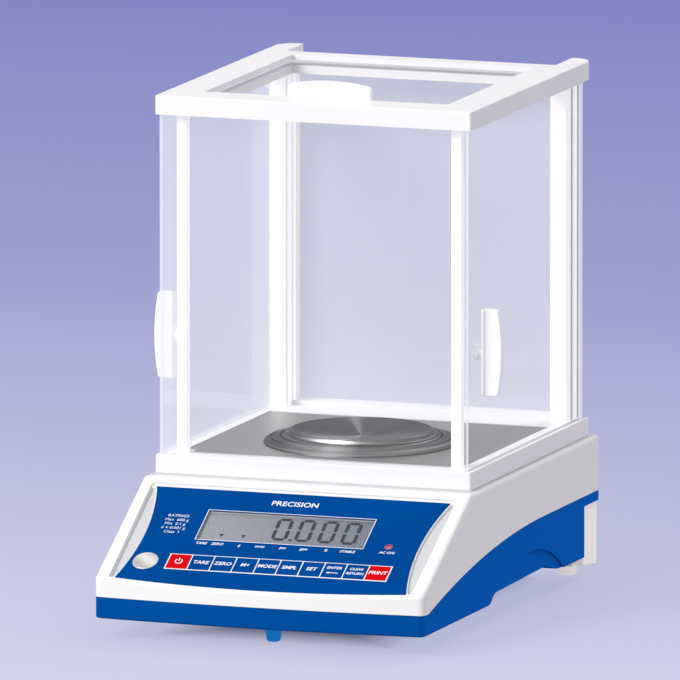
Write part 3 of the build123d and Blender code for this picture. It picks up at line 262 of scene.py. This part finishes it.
def turned(name, colour, roughness, centre, pitch=0.00035, anisotropy=0.8):
    """Metal turned on a lathe: fine rings about a centre, and a painted fan of light and dark.

    The fan is part of the colour, by the angle about the centre, and doesn't move with the view.
    """
    made = Shader(name, colour, roughness, Metallic=1.0, Anisotropic=anisotropy,
                  Specular_Tint=STEEL_EDGE)
    shift = made.node("ShaderNodeVectorMath", operation="SUBTRACT")
    shift.inputs[1].default_value = centre
    made.link(made.place, shift.inputs[0])
    flat = made.node("ShaderNodeVectorMath", operation="MULTIPLY")
    flat.inputs[1].default_value = (1, 1, 0)
    made.link(shift.outputs["Vector"], flat.inputs[0])
    radius = made.node("ShaderNodeVectorMath", operation="LENGTH")
    made.link(flat.outputs["Vector"], radius.inputs[0])
    ring = made.node("ShaderNodeTexNoise", noise_dimensions="1D")
    ring.inputs["Scale"].default_value = 1 / pitch
    ring.inputs["Detail"].default_value = 3.0
    made.link(radius.outputs["Value"], ring.inputs["W"])
    rings = ring.outputs["Fac"]
    turn = made.node("ShaderNodeTexGradient", gradient_type="RADIAL")
    made.link(flat.outputs["Vector"], turn.inputs["Vector"])
    tones = [(share, (tone, tone, tone)) for share, tone in PAINTED_STEEL_FAN]
    streak = made.node("ShaderNodeMath", operation="ADD")
    made.link(made.ramp(turn.outputs["Fac"], tones), streak.inputs[0])
    made.link(made.spread(rings, -0.05, 0.05), streak.inputs[1])
    made.tint(streak.outputs["Value"], (0, 0, 0), scaled(colour, FAN_GAIN))
    made.roughen(made.spread(rings, roughness - 0.06, roughness + 0.08))
    made.bump(rings, 0.00001, 0.5)
    around = made.node("ShaderNodeVectorMath", operation="CROSS_PRODUCT")
    around.inputs[0].default_value = (0, 0, 1)
    made.link(flat.outputs["Vector"], around.inputs[1])
    made.link(around.outputs["Vector"], made.bsdf.inputs["Tangent"])
    return made.material


def sheet_glass(name, colour, alpha, glow=0.0, roughness=0.03, thin="Y"):
    """A pane under a faint haze, brighter on its cut edges; its glow is painted light that stands
    for the haze lit by the studio.
    """
    made = Shader(name, colour, roughness, IOR=1.5)
    made.bsdf.inputs["Emission Color"].default_value = GLASS_GLOW_COLOUR
    across = made.facing(thin)
    for socket, on_face, on_edge in (("Alpha", alpha, EDGE_ALPHA),
                                     ("Emission Strength", glow, EDGE_GLOW)):
        made.link(made.spread(across, on_edge, on_face, *EDGE_TURN), made.bsdf.inputs[socket])
    made.roughen(made.spread(made.noise(14.0, 3.0), roughness, roughness + 0.05))
    made.tint(made.spread(made.noise(5.0), 0, 1), scaled(colour, 0.97), colour)
    return made.material


def circuit_board(name, colour):
    """Solder-masked board with a grid of tracks."""
    made = Shader(name, colour, 0.35)
    grid = made.node("ShaderNodeTexBrick")
    grid.inputs["Scale"].default_value = 160.0
    made.link(made.place, grid.inputs["Vector"])
    made.tint(made.spread(grid.outputs["Fac"], 0, 1, 0, 1), colour, scaled(colour, 1.8))
    made.bump(grid.outputs["Fac"], 0.00002)
    return made.material


def dress(material, *names):
    """Give CAD nodes a material."""
    for name in names:
        for material_slot in nodes[name].material_slots:
            material_slot.material = material


def middle(*names):
    """The middle of the box round some nodes."""
    lows, highs = zip(*(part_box(name) for name in names))
    return Vector([(min(low[i] for low in lows) + max(high[i] for high in highs)) / 2
                   for i in range(3)])


# ---------------------------------------------------------------- materials of the CAD nodes
def dress_nodes():
    """A material for every CAD node."""
    sides = ("left_", "right_")

    def both(*names):
        return [side + name for side in sides for name in names]

    pan_middle = middle("weighing_pan")
    dress(shell_shade(), "base_housing")
    # painted light: the front foot glows, though it is no lamp
    dress(plastic("foot_blue", FOOT_BLUE, 0.35, glow=0.3, Specular_IOR_Level=0.1), "front_foot")
    dress(housing_shade(), "top_housing")
    dress(plastic("white_frame_plastic", FRAME_WHITE, 0.36), "shield_base_frame", "top_frame")
    # painted light: the posts glow, though they are no lamp
    dress(plastic("white_post", FRAME_WHITE, 0.36, glow=0.34), *both("front_post"))
    for post in both("rear_post"):
        dress(slotted_post(post), post)
    # painted light: the cream feet and back panel glow, though they are no lamp
    dress(plastic("cream_feet", CREAM, 0.55, glow=0.2), *both("foot_pad"))
    dress(plastic("cream_back", CREAM, 0.5, glow=0.2), "rear_panel")
    # painted light: the handles glow, though they are no lamp
    dress(plastic("handle_white", FRAME_WHITE, 0.34, glow=0.12), "top_door_handle", "top_door_knob",
          *both("door_handle", "door_knob"))
    dress(brushed("floor_steel", STEEL, 0.42, (40, 1400, 1400)), "chamber_floor_plate")
    dress(turned("ring_steel", PAN_STEEL, 0.32, pan_middle), "draft_ring")
    dress(turned("dish_steel", PAN_STEEL, 0.3, pan_middle), "weighing_pan")
    dress(brushed("support_metal", PAN_STEEL, 0.4, (900, 900, 60)), "pan_support", "pan_spindle")
    dress(brushed("cell_metal", (0.6, 0.61, 0.63), 0.36, (50, 900, 900)), "load_cell")
    dress(brushed("mount_metal", (0.5, 0.51, 0.53), 0.45, (700, 60, 700)), "load_cell_mount")
    dress(brushed("screw_steel", (0.5, 0.5, 0.5), 0.3, (1200, 1200, 90)), "housing_screws",
          "rear_panel_screws", "post_screws", "load_cell_screws", *both("foot_screw"))
    dress(brushed("insert_brass", (0.62, 0.42, 0.16), 0.35, (900, 900, 200)), "foot_inserts")
    dress(printed_film("overlay_film", OVERLAY_BLUE), "keypad_overlay")
    dress(printed_film("key_blue_film", OVERLAY_BLUE), "key_tare", "key_zero", "key_memory",
          "key_mode", "key_sample", "key_set", "key_enter", "key_return")
    dress(printed_film("key_red_film", RED), "key_power", "key_print")
    dress(circuit_board("board_green", (0.01, 0.12, 0.035)), "main_board", "display_board")
    dress(plastic("battery_shrink", (0.02, 0.05, 0.12), 0.35, 900.0), "battery_pack")
    dress(plastic("cable_jacket", (0.35, 0.36, 0.38), 0.5, 1500.0), "ribbon_cable")
    dress(plastic("socket_black", (0.015, 0.015, 0.016), 0.45), "power_inlet")
    dress(brushed("connector_shell", (0.5, 0.5, 0.48), 0.3, (1200, 200, 1200)), "data_port")
    dress(plastic("level_cup_white", WHITE, 0.4), "level_vial_housing")
    # painted light: the hazy left and rear panes glow most
    dress(sheet_glass("front_pane", GLASS, 0.06, 0.06), "front_glass")
    dress(sheet_glass("right_pane", GLASS, 0.04, 0.10, thin="X"), "right_door_glass")
    dress(sheet_glass("top_pane", GLASS, 0.06, 0.06, thin="Z"), "top_door_glass")
    dress(sheet_glass("hazy_pane", GLASS, 0.44, 0.59, thin="X"), "left_door_glass")
    dress(sheet_glass("rear_pane", GLASS, 0.42, 0.555), "rear_glass")
    dress(sheet_glass("window_clear", (0.9, 0.92, 0.95), 0.03, thin="Z"), "display_window")
    dress(lcd_shade(), "lcd_module")
    dress(lens_shade(), "level_lens")
    dress(plastic("lamp_red", (0.42, 0.16, 0.18), 0.2, 400.0), "status_led")
    for name in ("front_glass", "rear_glass", "top_door_glass", "display_window",
                 *both("door_glass")):
        nodes[name].visible_shadow = False


def shell_shade():
    """The blue shell, with painted light: lighter where it faces sideways."""
    made = Shader("blue_shell", BLUE, 0.42, Specular_IOR_Level=0.0)
    made.tint(made.spread(made.facing("X"), 0, 1, 0.5, 0.95), BLUE, PAINTED_SIDE_LIGHT_BLUE)
    made.roughen(made.spread(made.noise(70.0, 3.0), 0.37, 0.47))
    made.bump(made.noise(2600.0, 1.0), 0.000012, 0.6)
    return made.material


def housing_shade():
    """The white shell, with painted shade: greyer on the floor of the two crescents beside the
    overlay.
    """
    made = Shader("white_shell", WHITE, 0.38)
    normal = Vector((0, -sin(PANEL_ANGLE), cos(PANEL_ANGLE)))
    top = max(v.co.dot(normal) for v in nodes["keypad_overlay"].data.vertices)

    def along_normal(socket):
        dot = made.node("ShaderNodeVectorMath", operation="DOT_PRODUCT")
        dot.inputs[1].default_value = normal
        made.link(socket, dot.inputs[0])
        return dot.outputs["Value"]

    facing = made.spread(along_normal(made.node("ShaderNodeNewGeometry").outputs["Normal"]),
                         0, 1, 0.6, 0.95)
    sunk = made.spread(along_normal(made.place), 0, 1, top - 0.7 * MM, top - 1.8 * MM)
    both = made.node("ShaderNodeMath", operation="MULTIPLY")
    made.link(facing, both.inputs[0])
    made.link(sunk, both.inputs[1])
    # painted shade where the face is sunk below the overlay's top
    made.tint(both.outputs["Value"], WHITE, PAINTED_SCOOP_SHADE)
    made.roughen(made.spread(made.noise(70.0, 3.0), 0.33, 0.43))
    made.bump(made.noise(2600.0, 1.0), 0.000012, 0.6)
    return made.material


def lcd_shade():
    """Display ground: grey that turns bluer and darker to the right, with a fine grain."""
    made = Shader("lcd_ground", LCD_GREY, 0.3)
    low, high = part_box("lcd_module")
    across = made.spread(made.along(made.place).outputs["X"], 0, 1, low.x, high.x)
    made.tint(across, LCD_GREY, LCD_BLUE)
    made.bump(made.noise(3500.0, 1.0), 0.000005, 0.5)
    made.roughen(made.spread(made.noise(180.0), 0.24, 0.36))
    return made.material


def lens_shade():
    """Silvered disc with a painted highlight streak across it."""
    made = Shader("level_silver", (0.62, 0.62, 0.6), 0.36, Metallic=0.6)
    wave = made.node("ShaderNodeTexWave", bands_direction="DIAGONAL")
    wave.inputs["Scale"].default_value = 28.0
    wave.inputs["Distortion"].default_value = 0.6
    made.link(made.place, wave.inputs["Vector"])
    # painted highlight: wave bands lighten the silver towards white
    made.tint(wave.outputs["Fac"], (0.62, 0.62, 0.6), (0.97, 0.97, 0.95))
    made.roughen(made.spread(made.noise(400.0), 0.3, 0.42))
    return made.material


# ---------------------------------------------------------------- the panel's own frame
def panel_frame():
    """Millimetres on the overlay's top face: X across, Y up the slope, Z square to it."""
    normal = Vector((0, -sin(PANEL_ANGLE), cos(PANEL_ANGLE)))
    up = Vector((0, cos(PANEL_ANGLE), sin(PANEL_ANGLE)))
    points = [v.co for v in nodes["keypad_overlay"].data.vertices]
    height = max(point.dot(normal) for point in points)
    start = max(point.dot(up) for point in points) - OVERLAY_TOP_EDGE * MM
    turn = Matrix((Vector((1, 0, 0)), up, normal)).transposed().to_4x4()
    return Matrix.Translation(normal * height + up * start) @ turn @ Matrix.Scale(MM, 4)


def top_of(name):
    """Box of a node's highest face in the panel's frame: low and high corners."""
    back = PANEL.inverted()
    points = [back @ v.co for v in nodes[name].data.vertices]
    height = max(point.z for point in points)
    face = [point for point in points if height - point.z < 0.2]
    return (Vector((min(p.x for p in face), min(p.y for p in face), height)),
            Vector((max(p.x for p in face), max(p.y for p in face), height)))


def lay(name, mesh, height, body, material):
    """A flat piece drawn in panel millimetres, laid at a height and carried by a body."""
    mesh.transform(PANEL @ Matrix.Translation((0, 0, height + LIFT)))
    piece = bpy.data.objects.new(name, mesh)
    bpy.context.scene.collection.objects.link(piece)
    mesh.materials.clear()
    mesh.materials.append(material)
    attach(piece, body)


def letters(words, height, spot, lean=0.0, weight=0.02):
    """Flat letters: capitals of a height, centred on a spot."""
    curve = bpy.data.curves.new("letters", "FONT")
    curve.body = words
    curve.size = height / 0.73
    curve.align_x = "CENTER"
    curve.align_y = "CENTER"
    curve.offset = height * weight
    curve.shear = lean
    curve.resolution_u = 3
    holder = bpy.data.objects.new("letters", curve)
    bpy.context.scene.collection.objects.link(holder)
    bpy.context.view_layer.update()
    mesh = bpy.data.meshes.new_from_object(holder)
    bpy.data.objects.remove(holder)
    bpy.data.curves.remove(curve)
    mesh.transform(Matrix.Translation((spot[0], spot[1], 0)))
    return mesh


def joined(*meshes):
    """Several meshes as one."""
    shape = bmesh.new()
    for mesh in meshes:
        shape.from_mesh(mesh)
        bpy.data.meshes.remove(mesh)
    whole = bpy.data.meshes.new("joined")
    shape.to_mesh(whole)
    shape.free()
    return whole


def polygons(outlines):
    """Flat faces from lists of points."""
    shape = bmesh.new()
    for outline in outlines:
        shape.faces.new([shape.verts.new((*point, 0)) for point in outline])
    mesh = bpy.data.meshes.new("polygons")
    shape.to_mesh(mesh)
    shape.free()
    return mesh


def strip(x0, x1, y0, y1):
    """Corners of an upright rectangle."""
    return [(x0, y0), (x1, y0), (x1, y1), (x0, y1)]


def arc_band(centre, inner, outer, start, end, steps=28):
    """Quads of a flat arc from one angle to another, in degrees."""
    def point(radius, step):
        angle = radians(start + (end - start) * step / steps)
        return centre[0] + radius * cos(angle), centre[1] + radius * sin(angle)
    return [[point(inner, i), point(outer, i), point(outer, i + 1), point(inner, i + 1)]
            for i in range(steps)]


# ---------------------------------------------------------------- print on the panel
def segment_digit(x, y, width, height, lean):
    """A seven-segment 0: six bars with pointed ends, leaning to the right."""
    thick = width * 0.23
    gap = thick * 0.12
    half = height / 2

    def bar(x0, y0, x1, y1):
        along = Vector((x1 - x0, y1 - y0)).normalized()
        side = Vector((-along.y, along.x)) * thick / 2
        start = Vector((x0, y0)) + along * gap
        end = Vector((x1, y1)) - along * gap
        tip = along * thick / 2
        points = [start, start + tip + side, end - tip + side, end, end - tip - side,
                  start + tip - side]
        return [(x + p.x + lean * p.y, y + p.y) for p in points]

    left, right = thick / 2, width - thick / 2
    bottom, top = thick / 2, height - thick / 2
    return [bar(left, top, right, top), bar(left, bottom, right, bottom),
            bar(left, half, left, top), bar(right, half, right, top),
            bar(left, bottom, left, half), bar(right, bottom, right, half)]


def display_print(print_white):
    """Digits and markers on the display's ground, unit names under it."""
    low, high = top_of("lcd_module")
    segments = printed_film("lcd_segments", SEGMENT, 0.3)
    width, height, pitch, lean = 10.0, 20.8, 14.3, -0.03
    bottom = low.y + 5.2
    first = high.x - 6.6 - 3 * pitch - width
    outlines = []
    for index in range(4):
        outlines += segment_digit(first + index * pitch, bottom, width, height, lean)
    dot_x, dot = first + width + 1.3, 2.0
    outlines.append(strip(dot_x, dot_x + dot, bottom, bottom + dot))
    for spot in (-38.9, -25.4):
        tip = low.y + 5.4
        outlines.append([(spot, tip), (spot + 1.6, tip + 3.0), (spot - 1.6, tip + 3.0)])
    lay("display_segments", polygons(outlines), low.z, "root", segments)

    names = (("TARE", -48.0), ("ZERO", -38.0), ("g", -24.2), ("carat", -11.6), ("pcs", 2.8),
             ("gsm", 15.9), ("%", 29.5), ("STABLE", 42.9))
    level = low.y - 3.6
    meshes = [letters(words, 2.1, (x, level), lean=0.2, weight=0.035) for words, x in names]
    lay("unit_names", joined(*meshes), 0, "root", print_white)
    return low, high


def window_edge(low, high):
    """A light line printed round the display's opening."""
    line = 0.45
    x0, x1, y0, y1 = low.x, high.x, low.y, high.y
    outlines = [strip(x0 - line, x1 + line, y1, y1 + line),
                strip(x0 - line, x0, y0, y1),
                strip(x1, x1 + line, y0, y1),
                strip(x0 - line, x1 + line, y0 - line, y0)]
    return polygons(outlines)


KEY_LEGENDS = {"power": None, "tare": ("TARE",), "zero": ("ZERO",), "memory": ("M+",),
               "mode": ("MODE",), "sample": ("SMPL",), "set": ("SET",), "enter": ("ENTER", "arrow"),
               "return": ("CLEAR", "RETURN"), "print": ("PRINT",)}


def power_symbol(x, y):
    """A broken ring with an upright bar through the gap."""
    outlines = arc_band((x, y), 1.7, 2.4, 125, 415)
    outlines.append(strip(x - 0.35, x + 0.35, y + 0.2, y + 3.0))
    return polygons(outlines)


def return_arrow(x, y):
    """An arrow that points to the left."""
    return polygons([strip(x - 2.2, x + 3.4, y - 0.3, y + 0.3),
                     [(x - 4.0, y), (x - 2.2, y - 1.0), (x - 2.2, y + 1.0)]])


def key_print(print_white):
    """A legend on each key and the white outline between the keys."""
    boxes = {}
    for key, legend in KEY_LEGENDS.items():
        low, high = top_of("key_" + key)
        boxes[key] = (low, high)
        x, y = (low.x + high.x) / 2, (low.y + high.y) / 2
        if legend is None:
            mesh = power_symbol(x, y)
        elif len(legend) == 1:
            mesh = letters(legend[0], 3.0, (x, y), lean=0.12, weight=0.03)
        elif legend[1] == "arrow":
            mesh = joined(letters(legend[0], 2.3, (x, y + 2.2), lean=0.12, weight=0.03),
                          return_arrow(x, y - 2.4))
        else:
            mesh = joined(letters(legend[0], 2.1, (x, y + 2.2), lean=0.12, weight=0.03),
                          letters(legend[1], 2.1, (x, y - 1.9), lean=0.12, weight=0.03))
        lay("legend_" + key, mesh, low.z, "button_" + key, print_white)

    row = list(boxes.values())
    bottom, top = row[0][0].y, row[0][1].y
    clear, line = 0.06, 0.85
    outlines = []
    for (_, left_high), (right_low, _) in zip(row, row[1:]):
        outlines.append(strip(left_high.x + clear, right_low.x - clear, bottom - clear, top + clear))
    start, end = row[0][0].x - clear, row[-1][1].x + clear
    outlines += [strip(start - line, start, bottom - clear, top + clear),
                 strip(end, end + line, bottom - clear, top + clear),
                 strip(start - line, end + line, top + clear, top + clear + line),
                 strip(start - line, end + line, bottom - clear - line, bottom - clear)]
    lay("key_outline", polygons(outlines), 0, "root", print_white)


def panel_print():
    """All the print on the panel: display, keys, title, ratings and lamp."""
    print_white = printed_film("print_white", INK_WHITE, 0.4)
    low, high = display_print(print_white)
    lay("window_outline", window_edge(low, high), 0, "root", print_white)
    key_print(print_white)

    title = letters("PRECISION", 4.4, (-2.0, 78.6), weight=0.02)
    lay("title", title, 0, "root", print_white)
    ratings = ("RATINGS", "Max  600 g", "Min  0.1 g", "d = 0.001 g", "Class  I")
    lines = [letters(words, 2.4, (-69.4, 62.0 - 3.8 * index), weight=0.0)
             for index, words in enumerate(ratings)]
    lay("ratings", joined(*lines), 0, "root", print_white)

    lamp_low, lamp_high = top_of("status_led")
    centre = ((lamp_low.x + lamp_high.x) / 2, (lamp_low.y + lamp_high.y) / 2)
    lamp_red = printed_film("lamp_ring_red", (0.8, 0.12, 0.14), 0.4)
    lay("lamp_ring", polygons(arc_band(centre, 1.75, 2.3, 0, 360)), 0, "root",
        lamp_red)
    name = letters("AC ON", 2.1, (centre[0] + 0.4, centre[1] - 5.4), lean=0.2, weight=0.035)
    lay("lamp_name", name, 0, "root", print_white)


# ---------------------------------------------------------------- stage, light and view
def floor_light(made, place):
    """The share of the floor's own light: it fades under the housing, away from its outline, as a
    painted shadow.
    """
    return made.spread(made.inside("base_housing", place), 1.0, FLOOR_DIM, *FLOOR_REACH)


def make_floor():
    """A wide pale floor that turns to a deeper blue towards the back, with a painted shadow where it
    dims under the balance.
    """
    shape = bmesh.new()
    bmesh.ops.create_grid(shape, x_segments=2, y_segments=2, size=FLOOR_SIZE)
    mesh = bpy.data.meshes.new("floor")
    shape.to_mesh(mesh)
    shape.free()
    floor = bpy.data.objects.new("floor", mesh)
    bpy.context.scene.collection.objects.link(floor)
    made = Shader("floor_pale", FLOOR_GREY, 0.8, Specular_IOR_Level=0.1)
    parts = made.along(made.place)
    shades = made.ramp(made.spread(parts.outputs["Y"], 0, 1, *FLOOR_SPAN), FLOOR_SHADES)
    made.link(shades, made.bsdf.inputs["Emission Color"])
    made.link(floor_light(made, parts), made.bsdf.inputs["Emission Strength"])
    mesh.materials.append(made.material)
    floor.visible_diffuse = False


def area_light(name, spot, size, power):
    """A square white lamp that faces the balance."""
    data = bpy.data.lights.new(name, "AREA")
    data.shape = "SQUARE"
    data.size = size
    data.energy = power
    lamp = bpy.data.objects.new(name, data)
    lamp.location = spot
    lamp.rotation_euler = (LIGHT_AIM - Vector(spot)).to_track_quat("-Z", "Y").to_euler()
    bpy.context.scene.collection.objects.link(lamp)


def make_light():
    """An even studio, a key light from the front left and a light from behind."""
    world = bpy.data.worlds.new("studio")
    world.use_nodes = True
    background = world.node_tree.nodes["Background"]
    background.inputs["Color"].default_value = WORLD_COLOUR
    background.inputs["Strength"].default_value = WORLD_STRENGTH
    bpy.context.scene.world = world
    area_light("key_light", (-1.6, -2.6, 2.2), 1.8, 106)
    area_light("back_light", (0.9, 2.6, 2.4), 1.2, 34)
    bpy.context.scene.view_settings.view_transform = "Standard"


def make_camera():
    """A long lens, for a view that is close to parallel."""
    back = Vector((sin(VIEW_AZIMUTH) * cos(VIEW_ELEVATION),
                   -cos(VIEW_AZIMUTH) * cos(VIEW_ELEVATION), sin(VIEW_ELEVATION)))
    data = bpy.data.cameras.new("camera")
    data.sensor_width = 36.0
    data.lens = data.sensor_width * VIEW_DISTANCE / VIEW_SIZE
    data.clip_end = 100.0
    camera = bpy.data.objects.new("camera", data)
    camera.location = VIEW_TARGET + back * VIEW_DISTANCE
    camera.rotation_euler = (-back).to_track_quat("-Z", "Y").to_euler()
    bpy.context.scene.collection.objects.link(camera)
    bpy.context.scene.camera = camera


PANEL = panel_frame()
dress_nodes()
panel_print()
make_floor()
make_light()
make_camera()
